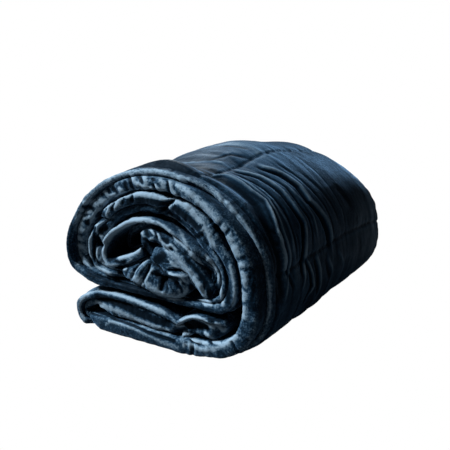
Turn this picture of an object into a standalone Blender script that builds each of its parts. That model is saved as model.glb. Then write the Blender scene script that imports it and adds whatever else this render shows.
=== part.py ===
"""A weighted blanket, folded in three across its width and then rolled up, its tail tucked under the roll.

The blanket is one closed solid. A single route, seen from the roll's open end, runs from the tucked-in tail
round the outside of the roll and spirals in to its core. Along that route the folded blanket is two members
lying side by side: an outer one, which ends in the side hem, and a fatter inner one, which ends in a fold.
The two are joined by the fold at the roll's far end. +Y runs along the roll, away from the open end.
"""

import math
from collections import namedtuple

import bmesh
import bpy

MM = 0.001

# The roll lies along Y from its open end at FRONT to its folded end at BACK. Sizes are in millimetres.
LENGTH = 424.0
FRONT = -LENGTH / 2
LAYER_GAP = 1.2
FOLD_ROUNDING = 10.0
EDGE_ROUNDING = 2.0
STEPS_PER_POINT = 2

# The rounded edges, each as points: the share of the thickness, and how far short of the edge.
FAR_CURVE = ((0.9, FOLD_ROUNDING), (0.5, 0.0))
FOLD_CURVE = ((0.8, EDGE_ROUNDING), (0.3, 0.0))
HEM_CURVE = ((0.25, EDGE_ROUNDING / 2), (0.8, EDGE_ROUNDING / 2))

# The fold's bulge is full at its start, has this share of its height at its end, and is gone where the gap
# starts. The first two distances are behind the fold, the third is short of the hem, and the fourth is behind
# the bulge's end.
BULGE_START = 6.0
BULGE_END = 8.0
HEM_CLEAR = 4.0
GAP_START = 4.0
BULGE_SHARE = 0.7
# How far behind the fold and behind the hem the flat faces start.
FOLD_FLAT = 9.0
HEM_FLAT = 18.0

# One leg is one side, corner or fold of the route: its points (x, z), the thickness of the outer and the
# inner member there, how far the outer member's hem and the inner member's fold stand back from FRONT, and
# how far the inner fold bulges out past a hem that stands back.
Leg = namedtuple("Leg", "name points outer inner hem_back fold_back lip")
LEGS = (
    Leg("tail end", ((104, 55),), 8, 16, 8, 12, 0),
    Leg("tail", ((82, 57), (62, 56)), 8, 24, 0, 4, 0),
    Leg("tail crease", ((46, 49), (34, 42), (20, 45)), 9, 15, 1, 4, 0),
    Leg("flap top", ((-4, 51), (-45, 54), (-84, 53)), 11, 24, 0, 3, 0),
    Leg("flap fold", ((-114, 47), (-134, 36), (-138, 24), (-128, 13)), 12, 9, 0, 6, 0),
    Leg("base", ((-104, 10.5), (-60, 10.5), (-10, 10.5), (38, 10.5)), 9.9, 14, 26, 0, 9),
    Leg("lower right", ((76, 11), (110, 20), (135, 42), (147, 72)), 10, 18, 26, 0, 3),
    Leg("right side", ((149, 104), (145, 138)), 10, 20, 24, 0, 0),
    Leg("upper right", ((131, 169),), 10, 19, 21, 0, 0),
    Leg("shoulder", ((104, 198), (70, 219)), 10, 14, 18, 0, 0),
    Leg("top", ((34, 231), (-6, 234), (-46, 227)), 11, 16, 8, 2, 0),
    Leg("upper left", ((-84, 210), (-116, 184), (-139, 153)), 12, 17, 2, 7, 0),
    Leg("left side", ((-149.7, 121), (-145, 97)), 12, 17, 0, 12, 0),
    Leg("lower left", ((-124, 86), (-103, 81)), 14, 4, 1, 8, 0),
    Leg("under roll", ((-70, 79), (0, 79), (62, 80)), 10, 1.5, 4, 10, 0),
    Leg("second right", ((94, 86), (105, 106), (105, 126), (93, 145)), 18, 7, 4, 4, 0),
    Leg("second corner", ((70, 162), (44, 180)), 26, 9, 3, 6, 0),
    Leg("second top", ((14, 193), (-20, 196)), 18, 9, 0, 5, 0),
    Leg("second shoulder", ((-58, 184),), 13, 9, 1, 5, 0),
    Leg("second left", ((-96, 150), (-110, 126), (-104, 102)), 8.5, 7, 2, 5, 0),
    Leg("second heel", ((-78, 94),), 9, 4, 3, 10, 0),
    Leg("second base", ((-20, 88), (40, 89)), 4.8, 5, 22, 10, 0),
    Leg("third right", ((71, 97), (86, 112), (80, 129)), 9, 8, 12, 14, 0),
    Leg("third corner", ((58, 145), (32, 160)), 10, 8, 2, 3, 0),
    Leg("third top", ((4, 171), (-28, 170), (-58, 156)), 10, 7, 0, 32, 0),
    Leg("third left", ((-80, 137), (-81, 120)), 9, 8, 0, 40, 0),
    Leg("core base", ((-60, 108), (-18, 105), (26, 105)), 10, 9, 2, 0, 0),
    Leg("core fold", ((46, 109), (52, 119), (40, 128)), 7, 5, 2, 0, 0),
    Leg("core end", ((15, 141), (-22, 150)), 9, 13, 2, 2, 0),
)
# The outside of the roll, which shows the quilting and the pleats, runs from the first of these legs to the
# second.
OUTSIDE = ("base", "left side")

# The blanket is stitched into squares. Across the outside, a seam lies at each pitch from the first.
QUILT_PITCH = 155.0
FIRST_SEAM = 20.0
SEAM_HALF_WIDTH = 16.0
SEAM_DEPTH = 4.0

# Pleats and seams fade in and out over these shares of the outside, at its two ends, and sink to no more than
# this share of the outer member's thickness.
FADE_IN = 0.25
FADE_OUT = 0.1
MOST_SUNK = 0.7

# Rows of points round the outside, by their distance along the roll: how deep the pleat there is, negative
# for a ridge, and how far the row drifts along the roll from one end of the outside to the other.
Row = namedtuple("Row", "along sink drift")
OUTER_ROWS = (
    Row(5, 0, 0),
    Row(20, 0, 4),
    Row(40, 3, 14),
    Row(64, 6, 22),
    Row(86, 1.5, 18),
    Row(106, 4, 14),
    Row(128, -1, 12),
    Row(152, 2, 6),
    Row(178, -3, 0),
    Row(202, 1.5, -8),
    Row(226, -3.5, -12),
    Row(250, 1, -8),
    Row(300, -1, 4),
    Row(360, 1, 2),
)
# Where the cloth behind the rim has sunk in: the place round the outside and along the roll, how far the dent
# reaches each way, and its depth.
Dent = namedtuple("Dent", "run along run_reach along_reach depth")
DENTS = (
    Dent(575, 80, 80, 55, 9.5),
    Dent(478, 118, 26, 20, 3.5),
)
INNER_ROWS = (9, 120, 250, 360)
GAP_ROWS = (250, 360, 402)

# The far end, where the fold is soft, sinks and draws in. The share is of the height or width in front.
Change = namedtuple("Change", "along height width")
CHANGES = (
    Change(250, 0.0, 0.0),
    Change(360, -0.06, 0.0),
    Change(424, -0.17, -0.03),
)
FLAT_BASE_BELOW = 3.0


def smooth_route(points, steps):
    """A Catmull-Rom curve through the points, as a list of (x, z) with `steps` parts between two points."""
    ends = [points[0], *points, points[-1]]
    route = []
    for before, start, stop, after in zip(ends, ends[1:], ends[2:], ends[3:]):
        for step in range(steps):
            t = step / steps
            weights = (
                0.5 * (-t + 2 * t**2 - t**3),
                0.5 * (2 - 5 * t**2 + 3 * t**3),
                0.5 * (t + 4 * t**2 - 3 * t**3),
                0.5 * (t**3 - t**2),
            )
            corners = (before, start, stop, after)
            route.append(tuple(sum(w * c[axis] for w, c in zip(weights, corners)) for axis in (0, 1)))
    route.append(points[-1])
    return route


def ease(value):
    """0 below 0, 1 above 1, and a smooth step between."""
    value = min(max(value, 0.0), 1.0)
    return value * value * (3 - 2 * value)


def change_at(along):
    """The shares by which height and width change at this distance along the roll."""
    for low, high in zip(CHANGES, CHANGES[1:]):
        if along <= high.along:
            break
    share = min(max((along - low.along) / (high.along - low.along), 0.0), 1.0)
    return (
        low.height + (high.height - low.height) * share,
        low.width + (high.width - low.width) * share,
    )


class Station:
    """One place on the route: its point, which way is outwards, and the folded blanket's sizes there."""

    def __init__(self, point, outward, sizes, run):
        self.x, self.z = point
        self.outward = outward
        self.outer, self.inner, self.hem_back, self.fold_back, self.lip = sizes
        self.run = run
        # How far round the outside of the roll this is, from 0 to 1, or None on the inner turns.
        self.share = None
        self.outside_run = 0.0

    def place(self, offset, along):
        """World metres of a point `offset` outwards from the route and `along` from the open end."""
        height, width = change_at(along)
        x = (self.x + offset * self.outward[0]) * (1 + width)
        z = (self.z + offset * self.outward[1]) * (1 + height)
        if z < FLAT_BASE_BELOW and offset > 0:
            z = 0.0
        return (x * MM, (FRONT + along) * MM, z * MM)


def stations_along_route():
    """The route cut into stations, with the legs' sizes blended from one leg to the next."""
    points = [point for leg in LEGS for point in leg.points]
    sizes = [leg[2:] for leg in LEGS for _ in leg.points]
    names = [leg.name for leg in LEGS for _ in leg.points]
    route = smooth_route(points, STEPS_PER_POINT)
    stations = []
    run = 0.0
    for index, point in enumerate(route):
        before = route[max(index - 1, 0)]
        after = route[min(index + 1, len(route) - 1)]
        run += math.dist(route[max(index - 1, 0)], point)
        size = math.dist(before, after)
        outward = ((after[1] - before[1]) / size, (before[0] - after[0]) / size)
        low = min(index // STEPS_PER_POINT, len(points) - 2)
        share = index / STEPS_PER_POINT - low
        blended = [a + (b - a) * share for a, b in zip(sizes[low], sizes[low + 1])]
        stations.append(Station(point, outward, blended, run))
    first = names.index(OUTSIDE[0]) * STEPS_PER_POINT
    last = (len(names) - 1 - names[::-1].index(OUTSIDE[1])) * STEPS_PER_POINT
    for station in stations[first : last + 1]:
        station.outside_run = station.run - stations[first].run
        station.share = station.outside_run / (stations[last].run - stations[first].run)
    return stations


def dented(run, along):
    """How deep the dents are at this place on the outside."""
    depth = 0.0
    for dent in DENTS:
        off = ((run - dent.run) / dent.run_reach) ** 2 + ((along - dent.along) / dent.along_reach) ** 2
        depth += dent.depth * math.exp(-off)
    return depth


def outer_row(station, row):
    """The point of one row on the outer face, sunk by the pleat and the quilting seam that it crosses."""
    along = station.hem_back + row.along * (LENGTH - station.hem_back) / LENGTH
    sunk = 0.0
    if station.share is not None:
        along += row.drift * (station.share - 0.5)
        fade = ease(station.share / FADE_IN) * ease((1.0 - station.share) / FADE_OUT)
        seam = round((station.outside_run - FIRST_SEAM) / QUILT_PITCH) * QUILT_PITCH + FIRST_SEAM
        off_seam = abs(station.outside_run - seam) / SEAM_HALF_WIDTH
        sunk = fade * (row.sink + SEAM_DEPTH * (1.0 - ease(off_seam)) + dented(station.outside_run, along))
        sunk = min(sunk, MOST_SUNK * station.outer)
    return station.place(LAYER_GAP / 2 + station.outer - sunk, along)


def section_loop(station):
    """The folded blanket's closed section at one station: out along the hemmed member's outer face, round
    the fold at the far end, home along the inner member, round its front fold, and along the gap and back."""
    gap = LAYER_GAP / 2
    out = gap + station.outer
    deep = -gap - station.inner
    middle, half = (out + deep) / 2, (out - deep) / 2
    hem, fold = station.hem_back, station.fold_back
    loop = [outer_row(station, row) for row in OUTER_ROWS]
    loop.extend(station.place(middle + half * share, LENGTH - short) for share, short in FAR_CURVE)
    loop.extend(station.place(middle - half * share, LENGTH - short) for share, short in reversed(FAR_CURVE))
    loop.extend(station.place(deep, max(row, fold + FOLD_FLAT)) for row in reversed(INNER_ROWS))
    loop.extend(station.place(-gap - station.inner * share, fold + short) for share, short in FOLD_CURVE)
    bulge_end = max(hem - HEM_CLEAR, fold + BULGE_END)
    loop.append(station.place(-gap + station.lip, fold + BULGE_START))
    loop.append(station.place(-gap + station.lip * BULGE_SHARE, bulge_end))
    loop.append(station.place(-gap, bulge_end + GAP_START))
    loop.extend(station.place(-gap, row) for row in GAP_ROWS)
    loop.extend(station.place(gap, row) for row in reversed(GAP_ROWS))
    loop.append(station.place(gap, hem + HEM_FLAT))
    loop.extend(station.place(gap + station.outer * share, hem + short) for share, short in HEM_CURVE)
    return loop


def blanket_mesh():
    """Skins the section loops from one end of the route to the other and closes both ends."""
    shape = bmesh.new()
    rings = [
        [shape.verts.new(point) for point in section_loop(station)] for station in stations_along_route()
    ]
    for ring, following in zip(rings, rings[1:]):
        for index in range(len(ring)):
            after = (index + 1) % len(ring)
            shape.faces.new((ring[index], ring[after], following[after], following[index]))
    shape.faces.new(rings[0])
    shape.faces.new(rings[-1])
    bmesh.ops.recalc_face_normals(shape, faces=shape.faces)
    bmesh.ops.triangulate(shape, faces=shape.faces)
    mesh = bpy.data.meshes.new("blanket")
    shape.to_mesh(mesh)
    shape.free()
    return mesh


def velvet_material():
    """Dark blue short-pile velvet."""
    material = bpy.data.materials.new("blue_velvet")
    material.use_nodes = True
    shader = material.node_tree.nodes["Principled BSDF"]
    shader.inputs["Base Color"].default_value = (0.022, 0.052, 0.085, 1.0)
    shader.inputs["Roughness"].default_value = 0.8
    shader.inputs["Metallic"].default_value = 0.0
    return material


def clear_scene():
    for old in list(bpy.data.objects):
        bpy.data.objects.remove(old, do_unlink=True)


def main():
    clear_scene()
    mesh = blanket_mesh()
    mesh.materials.append(velvet_material())
    mesh.shade_smooth()
    blanket = bpy.data.objects.new("blanket", mesh)
    bpy.context.scene.collection.objects.link(blanket)


main()
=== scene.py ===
"""The looks of a rolled weighted blanket: dark blue velvet, folded in three, rolled, its tail tucked under.

The roll is swept along one route, seen from its open end, as the CAD solid is. The route starts at the
tucked tail, runs round the outside and winds in to the core. Along it lie two members: an outer one, which
ends in the stitched side hem, and an inner one, which ends in a soft fold. Sizes are in millimetres until a
mesh is made. +Y runs along the roll, away from the open end; "along" is the distance from that end.
"""

import math
from collections import namedtuple

import bpy
import numpy as np
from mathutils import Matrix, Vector


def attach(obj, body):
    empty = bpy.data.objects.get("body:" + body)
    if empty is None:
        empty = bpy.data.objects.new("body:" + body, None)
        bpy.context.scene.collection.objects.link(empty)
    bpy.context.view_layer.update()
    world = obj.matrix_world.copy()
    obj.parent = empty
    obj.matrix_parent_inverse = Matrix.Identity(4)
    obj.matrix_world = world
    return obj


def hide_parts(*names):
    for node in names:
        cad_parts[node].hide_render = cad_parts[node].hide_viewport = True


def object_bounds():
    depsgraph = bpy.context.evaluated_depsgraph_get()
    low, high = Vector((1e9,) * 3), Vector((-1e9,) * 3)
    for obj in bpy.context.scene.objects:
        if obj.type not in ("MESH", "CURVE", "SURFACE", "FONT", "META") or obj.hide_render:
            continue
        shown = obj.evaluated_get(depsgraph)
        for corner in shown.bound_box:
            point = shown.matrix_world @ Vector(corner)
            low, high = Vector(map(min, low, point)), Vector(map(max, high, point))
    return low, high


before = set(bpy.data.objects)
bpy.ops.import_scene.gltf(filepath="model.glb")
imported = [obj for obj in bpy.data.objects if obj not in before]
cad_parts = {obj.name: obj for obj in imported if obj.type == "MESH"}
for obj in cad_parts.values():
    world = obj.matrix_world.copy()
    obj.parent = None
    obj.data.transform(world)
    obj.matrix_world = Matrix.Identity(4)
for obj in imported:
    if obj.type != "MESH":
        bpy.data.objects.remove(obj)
cad_low, cad_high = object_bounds()

MM = 0.001
LENGTH = (cad_high.y - cad_low.y) / MM
FRONT = cad_low.y / MM

# ---- the route

def table(columns, *rows):
    """Rows whose values are read by the names of their columns."""
    return tuple(map(namedtuple("Row", columns)._make, rows))


# One leg is one side, corner or fold: its points (x, z), the thickness of the outer and inner member, how far
# the outer member's hem and the inner member's fold stand back from the open end, how far the inner fold
# bulges past a hem that stands back, and how deep the gathers are along the hem and along the fold.
LEGS = table(
    "name points outer inner hem_back fold_back lip hem_ruffle fold_ruffle",
    ("tail end", ((104, 55),), 9, 16, 8, 12, 0, 1.2, 2),
    ("tail", ((82, 57), (62, 56)), 9, 25, 0, 4, 0, 0.8, 1.6),
    ("tail crease", ((46, 49), (34, 42), (20, 45)), 9, 17, 1, 4, 0, 0.8, 1.6),
    ("flap top", ((-4, 51), (-45, 54), (-84, 53)), 12, 25, 0, 3, 0, 0.6, 0.9),
    ("flap fold", ((-114, 47), (-134, 36), (-138, 24), (-128, 13)), 12, 9, 0, 6, 0, 0.9, 1),
    ("base", ((-104, 10.5), (-60, 10.5), (-10, 10.5), (38, 10.5)), 9.9, 14, 26, 0, 9, 0.3, 0.4),
    ("lower right", ((76, 11), (110, 20), (135, 42), (147, 72)), 10, 18, 26, 0, 3, 0.6, 0.9),
    ("right side", ((149, 104), (145, 138)), 10, 20, 24, 0, 0, 0.7, 0.6),
    ("upper right", ((131, 169),), 10, 19, 21, 0, 0, 0.8, 0.8),
    ("shoulder", ((104, 198), (70, 219)), 10, 14, 18, 0, 0, 0.9, 1),
    ("top", ((34, 231), (-6, 234), (-46, 227)), 11, 16, 8, 2, 0, 0.5, 1.2),
    ("upper left", ((-84, 210), (-116, 184), (-139, 153)), 12, 17, 2, 7, 0, 0.5, 0.8),
    ("left side", ((-149.7, 121), (-145, 97)), 12, 17, 0, 12, 0, 0.5, 0.6),
    ("lower left", ((-124, 86), (-103, 81)), 14, 4, 1, 8, 0, 0.4, 0.6),
    ("under roll", ((-70, 79), (0, 79), (62, 80)), 12, 1.5, 4, 10, 0, 0.4, 0.6),
    ("second right", ((94, 86), (105, 106), (105, 126), (93, 145)), 18, 7, 4, 4, 0, 1, 0.8),
    ("second corner", ((70, 162), (44, 180)), 30, 9, 3, 6, 0, 1.4, 0.8),
    ("second top", ((14, 193), (-20, 196)), 20, 9, 0, 5, 0, 1, 0.6),
    ("second shoulder", ((-58, 184),), 15, 9, 1, 5, 0, 1.2, 0.7),
    ("second knob", ((-79, 169),), 15.5, 9, 1, 5, 0, 1.2, 0.9),
    ("second bend", ((-96, 150),), 12.5, 12, 1, 5, 0, 1, 1.2),
    ("second left", ((-110, 126), (-104, 102)), 8.5, 12, 2, 5, 0, 0.8, 1.2),
    ("second heel", ((-78, 94),), 10, 3, 3, 10, 0, 0.4, 0.6),
    ("second base", ((-20, 88), (40, 89)), 5.5, 6, 30, 26, 0, 1, 1),
    ("third right", ((71, 97), (86, 112), (80, 129)), 9, 8, 12, 14, 0, 1.4, 1.4),
    ("third corner", ((58, 145), (32, 160)), 10, 8, 2, 3, 0, 0.8, 0.8),
    ("third top", ((4, 171), (-28, 170), (-58, 156)), 10, 6, 0, 32, 0, 0.5, 1.6),
    ("third left", ((-80, 139), (-85, 121)), 10, 5, 0, 46, 0, 0.5, 1.6),
    ("core curl", ((-78, 113), (-62, 119)), 15, 4, 0, 50, 0, 0.6, 1.2),
    ("core lip", ((-44, 126), (-24, 139)), 14, 4, 2, 50, 0, 0.8, 1.2),
)
# The outside, where pleats, dents and seams are laid, runs from the first of these legs to the last.
OUTSIDE = ("base", "left side")

# Creases and strokes are placed where they show on the plane of the open end, seen from here, in metres.
CAMERA_PLACE = (0.498, -0.834, 0.401)

# A crease is a line of points (x, z) on the open end, deepest at its first point, pressed back that deep and
# that wide. A ridge is one with a depth below 0.
FACE_CREASES = table(
    "points depth width",
    # Where the second layer's bulging fold comes to a point over the slanting one beside it.
    (((12, 195), (22, 203), (34, 211)), 13, 2.4),
    (((20, 190), (40, 180), (58, 168), (72, 152)), 8, 8),
    (((74, 172), (66, 166), (58, 164)), 4, 2.6),
    (((78, 168), (84, 160), (96, 152)), 3, 3.4),
    # The second layer's pinched left end.
    (((-92, 168), (-84, 166), (-74, 170)), 9, 2.4),
    (((-100, 160), (-92, 168), (-94, 178)), 7, 2.2),
    (((-66, 190), (-60, 198)), 3, 2),
    (((-34, 198), (-32, 210)), 3, 1.6),
    # The tail's hooked end, with wrinkles that radiate from it.
    (((33, 30), (38, 37), (44, 42)), 13, 4.5),
    (((40, 36), (54, 36), (68, 34)), 5, 2.4),
    (((42, 33), (52, 28), (60, 22)), 4, 2.2),
    (((50, 44), (66, 46), (82, 50)), 5, 2.6),
    (((70, 28), (84, 36), (96, 40)), 3.5, 2.4),
    (((62, 24), (74, 24), (84, 30)), 3, 2),
    # The flap's filled face: wrinkles from its fold, and the line where it lies on the base.
    (((-122, 30), (-108, 38), (-96, 44)), 4, 2.2),
    (((-122, 28), (-104, 32), (-88, 30)), 3.5, 2),
    (((-116, 24), (-98, 24), (-84, 26)), 3, 1.8),
    # The hem's cross seam under the roll, and pinches beside it.
    (((57, 24), (57, 14), (57, 2)), 5, 2.3),
    (((48, 22), (47, 14), (47, 6)), 2.5, 2.2),
    (((116, 40), (122, 32), (131, 27)), 4, 2.4),
    (((-132, 128), (-118, 128)), 3, 3),
)

# A stroke is a line along which the velvet stands up, or is pressed down if its height is below 0, and along
# which its colour is painted paler, or darker if its shade is below 0: painted highlight and painted shade,
# partly the crushed velvet's own pale and dark patches.
FACE_STROKES = table(
    "points height width shade",
    # The outer turn's hem: pale over the top, darker down the left.
    (((-70, 228), (-30, 241), (10, 243), (45, 238), (75, 230)), 0, 6, 0.16),
    (((-150, 92), (-154, 128), (-145, 160)), 0, 6, -0.14),
    (((-72, 222), (-92, 208), (-110, 193), (-122, 180)), 0, 4.5, 0.12),
    (((-138, 96), (-130, 97), (-124, 99)), 0.8, 1.4, 0.2),
    # The outer turn's fold, with puffs between its gathers.
    (((-32, 233), (-29, 226), (-23, 222)), 2, 2.2, 0.45),
    (((-36, 230), (-35, 222), (-30, 217)), -2, 2.6, -0.3),
    (((-11, 233), (-9, 223)), 1, 3.5, 0.28),
    (((-22, 225), (-12, 220), (0, 221)), 1.5, 2, 0.35),
    (((-20, 232), (-17, 227)), -1.5, 2.5, -0.25),
    (((2, 228), (8, 222), (15, 218)), 1.6, 1.8, 0.42),
    (((1, 232), (3, 222)), -2.2, 1.8, -0.3),
    (((15, 231), (18, 221)), 0.8, 4, 0.2),
    (((24, 231), (25, 222), (29, 213)), -2.2, 1.8, -0.35),
    (((28, 231), (31, 222), (37, 214)), 2, 2.4, 0.42),
    (((40, 228), (55, 222), (75, 210), (96, 194), (112, 178), (121, 162)), 1, 4.6, 0.22),
    (((96, 186), (101, 190)), -1, 2.4, -0.24),
    (((125, 150), (132, 153)), -1, 2.6, -0.22),
    (((130, 118), (137, 112)), -1, 2, -0.22),
    (((130, 94), (136, 98)), -0.8, 2.8, -0.2),
    (((56, 233), (72, 228), (90, 217), (104, 208)), -2, 2.2, -0.3),
    (((88, 190), (98, 180), (107, 178), (112, 184)), -1.6, 1.8, -0.4),
    (((121, 162), (129, 146), (134, 128), (135, 104), (133, 80)), 1, 5, 0.25),
    (((136, 138), (130, 139)), -1.2, 1.6, -0.25),
    (((145, 140), (146, 116), (144, 92)), -0.5, 4, -0.14),
    # The hem on the right: a pale face that narrows to a pale edge line.
    (((72, 240), (92, 231), (112, 216), (130, 200), (146, 180)), 0.4, 2, 0.3),
    (((84, 230), (100, 219), (118, 203), (136, 184)), 0.4, 4.5, 0.2),
    (((146, 180), (156, 160), (164, 140), (168, 118), (169, 98), (164, 78)), 0.8, 2, 0.4),
    (((152, 150), (157, 128), (158, 104), (156, 84)), -0.6, 4, -0.2),
    # The outer turn's fold again, from its top down the left.
    (((-53, 213), (-49, 209), (-44, 205)), 1.6, 3, 0.4),
    (((-44, 222), (-41, 213)), -1.6, 2.6, -0.28),
    (((-79, 206), (-71, 201), (-62, 205)), 1.2, 3, 0.28),
    (((-66, 212), (-60, 209)), -1.4, 3, -0.22),
    (((-97, 187), (-87, 193), (-76, 191)), 1.2, 5.5, 0.26),
    (((-118, 186), (-108, 188), (-100, 193)), 1.2, 2, 0.3),
    (((-121, 180), (-106, 182)), -1.5, 1.6, -0.25),
    (((-124, 174), (-114, 173), (-104, 176)), 0.8, 2.4, 0.26),
    (((-127, 166), (-116, 164), (-108, 168)), 0.8, 2.6, 0.28),
    (((-113, 158), (-106, 156)), -1.4, 4, -0.3),
    (((-129, 158), (-130, 132), (-128, 104)), 0.5, 7.5, 0.26),
    (((-133, 150), (-124, 146), (-118, 148)), 1, 2.6, 0.16),
    (((-134, 140), (-126, 139)), -0.8, 2.2, -0.2),
    (((-132, 124), (-121, 120)), 0.8, 3, 0.14),
    (((-130, 115), (-122, 110)), -0.6, 2.4, -0.18),
    # The second turn's fold: pale along its top, dark below, pinched at its left.
    (((-52, 203), (-40, 208), (-20, 211), (0, 211), (20, 209), (38, 211)), 0.6, 4.4, 0.36),
    (((-40, 198), (-20, 202), (0, 203), (20, 204), (31, 207)), -1, 3, -0.4),
    (((-34, 208), (-35, 201)), -1.8, 1.4, -0.4),
    (((-54, 201), (-60, 190)), 1.6, 4, 0.3),
    (((-47, 202), (-50, 194)), -1.6, 1.8, -0.35),
    (((-61, 198), (-65, 188), (-63, 184)), 1, 1.4, 0.3),
    (((-66, 194), (-68, 184)), -1.6, 2.2, -0.4),
    (((-58, 202), (-70, 190), (-78, 177), (-78, 170)), 1.2, 1.6, 0.4),
    (((-79, 166), (-68, 172), (-58, 178)), -0.6, 3, 0.12),
    # The slanting fold beside it: pale along its outer edge, dark in its flat middle.
    (((43, 212), (32, 205), (22, 199)), 0.8, 1.5, 0.42),
    (((46, 208), (58, 200), (70, 190), (80, 178), (88, 163)), 0.6, 5.5, 0.3),
    (((34, 198), (46, 191), (57, 183)), -1, 5.5, -0.32),
    (((50, 187), (60, 186), (68, 181)), -0.8, 2.6, -0.3),
    (((58, 175), (67, 178), (74, 184)), -2.4, 1.6, -0.5),
    (((60, 170), (72, 166), (82, 152)), -0.4, 5.5, -0.14),
    # The third turn, dark, and the layer inside it, pale and smooth.
    (((-80, 160), (-60, 176), (-40, 187), (-20, 191), (2, 190), (20, 184)), 0, 4, -0.12),
    (((20, 187), (34, 177), (44, 166), (52, 154)), 0.5, 1.8, 0.2),
    (((-88, 104), (-88, 124), (-80, 139), (-64, 156), (-45, 168), (-26, 176), (-4, 176)), 0, 5.5, 0.4),
    (((8, 177), (16, 174), (22, 170)), 0.6, 1.8, 0.3),
    (((25, 168), (36, 160), (47, 154), (58, 146)), 0.8, 2.4, 0.3),
    (((-4, 172), (12, 164), (30, 152), (48, 142)), 0, 2.6, -0.16),
    (((58, 143), (72, 135), (82, 125)), 0.4, 3, 0.14),
    # The core's lip.
    (((-58, 118), (-45, 124), (-33, 130), (-23, 137)), 0.4, 4.2, 0.26),
    (((-79, 114), (-70, 117)), -1.4, 3.4, -0.34),
    (((-84, 105), (-74, 105), (-64, 108)), 0.6, 2.4, 0.16),
    (((-66, 112), (-58, 112), (-50, 115)), -1, 2.2, -0.24),
    (((-48, 113), (-38, 119)), 0.6, 2, 0.12),
    (((-60, 105), (-44, 109), (-30, 117)), -0.6, 2.2, -0.2),
    # Wrinkles on the left, where the layers bend in.
    (((-104, 163), (-110, 150), (-113, 130), (-114, 106)), 1.6, 4.2, 0.48),
    (((-102, 152), (-104, 138), (-105, 118), (-106, 106)), -1.2, 3, -0.18),
    (((-98, 136), (-92, 131)), -7, 4.5, -0.5),
    (((-86, 137), (-97, 124), (-101, 108)), 1.5, 2.4, 0.3),
    (((-84, 164), (-95, 157), (-97, 149), (-87, 142)), 1.2, 2, 0.3),
    (((-91, 151), (-80, 157)), -2, 3.4, -0.3),
    (((-82, 183), (-94, 179), (-102, 171), (-99, 163)), 1.2, 2, 0.4),
    (((-92, 172), (-85, 173)), -2, 4, -0.36),
    (((-102, 160), (-94, 157)), 1, 2, 0.3),
    # The band below the core, dark but for the wrinkles at its left end.
    (((-122, 99), (-108, 97), (-95, 96), (-80, 93)), 0.8, 2.6, 0.3),
    (((-118, 84), (-90, 80), (-50, 76), (-10, 70), (40, 70), (75, 74)), 0, 5.5, -0.2),
    (((-66, 87), (-50, 83), (-30, 79), (-10, 75), (14, 73)), 0, 4, -0.3),
    (((-137, 96), (-124, 101)), 0.8, 1.4, 0.25),
    # The turns on the right.
    (((80, 147), (91, 136), (98, 121), (101, 105), (104, 88)), 0.8, 2, 0.42),
    (((88, 128), (93, 118), (95, 104)), -0.8, 2.6, -0.3),
    (((114, 140), (119, 120), (121, 98), (119, 76)), 0.5, 2.4, 0.24),
    (((107, 136), (110, 114), (111, 92)), -0.8, 3, -0.24),
    (((122, 146), (127, 124), (128, 100), (127, 78)), -2, 1.8, -0.4),
    # The flap's top and its filled face, dark above and pale below.
    (((-122, 56), (-134, 44), (-139, 30), (-134, 17)), 0.3, 3.6, 0.2),
    (((-122, 57), (-100, 64), (-78, 66), (-45, 64), (-15, 60), (12, 57)), 0, 3.2, 0.3),
    (((-104, 54), (-80, 53), (-55, 51), (-30, 46), (-5, 42), (18, 42)), -0.8, 4.5, -0.42),
    (((-104, 43), (-88, 42), (-70, 40), (-48, 37), (-25, 33), (0, 33), (18, 31)), 0.8, 4.6, 0.32),
    (((-112, 36), (-102, 41), (-92, 38)), 0.8, 1.5, 0.3),
    (((-106, 30), (-90, 29), (-70, 26), (-40, 25), (-15, 21), (12, 21), (28, 20)), -1.6, 1.8, -0.5),
    (((-82, 21), (-60, 22), (-38, 20), (-15, 17), (12, 12), (34, 12)), 0.4, 2.6, 0.22),
    (((44, 18), (52, 20), (74, 19), (90, 24), (106, 35), (122, 50)), 0.4, 3.6, 0.26),
    (((-90, 14), (-84, 20)), 0.8, 1.6, 0.2),
    # The tail's hooked end and the wrinkled cloth below it.
    (((36, 40), (42, 51), (52, 59), (64, 62), (76, 60), (90, 55)), 0.8, 3.6, 0.34),
    (((46, 46), (60, 52), (76, 50)), -6, 4.6, -0.5),
    (((37, 31), (50, 33), (62, 29), (78, 28)), 0.8, 3.4, 0.34),
    (((72, 49), (80, 42), (90, 36), (98, 36)), 1.6, 2.6, 0.4),
    (((76, 38), (86, 32)), -1.6, 2, -0.35),
    (((56, 40), (66, 38), (74, 34)), -1.6, 2.2, -0.3),
    (((94, 61), (104, 54), (112, 56)), 0.8, 2.8, 0.34),
    (((84, 62), (98, 66), (108, 76)), -1, 3, -0.3),
    # The core's slanting fold: a mottled knob, pale along its lower side, dark above.
    (((-26, 150), (-24, 158), (-20, 163)), 0.8, 2, 0.26),
    (((-19, 160), (-15, 154)), 1.4, 2, 0.3),
    (((-23, 156), (-21, 151)), -1.2, 1.8, -0.3),
    (((-16, 152), (-9, 150), (-5, 147)), -1.8, 2, -0.4),
    (((-12, 163), (-9, 157)), -1.4, 2.2, -0.34),
    (((-4, 166), (1, 161)), 1.2, 1.8, 0.3),
    (((3, 164), (6, 158)), -1.2, 1.5, -0.34),
    (((6, 162), (11, 155), (17, 149)), 1.2, 2.4, 0.34),
    (((-6, 154), (-1, 155)), 1.2, 2.2, 0.24),
    (((2, 150), (10, 148)), -1.6, 2.2, -0.34),
    (((16, 156), (22, 153)), -1.2, 1.8, -0.3),
    (((22, 149), (28, 152), (35, 147)), 1.4, 2.2, 0.34),
    (((26, 146), (29, 145)), -1.8, 1.8, -0.4),
    (((-16, 142), (-12, 132)), -0.6, 5, -0.24),
    (((22, 145), (30, 140), (45, 129), (60, 115), (70, 103)), 0.6, 6.5, 0.26),
    (((50, 137), (64, 127), (78, 113), (86, 100)), -0.4, 3.5, -0.24),
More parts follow.
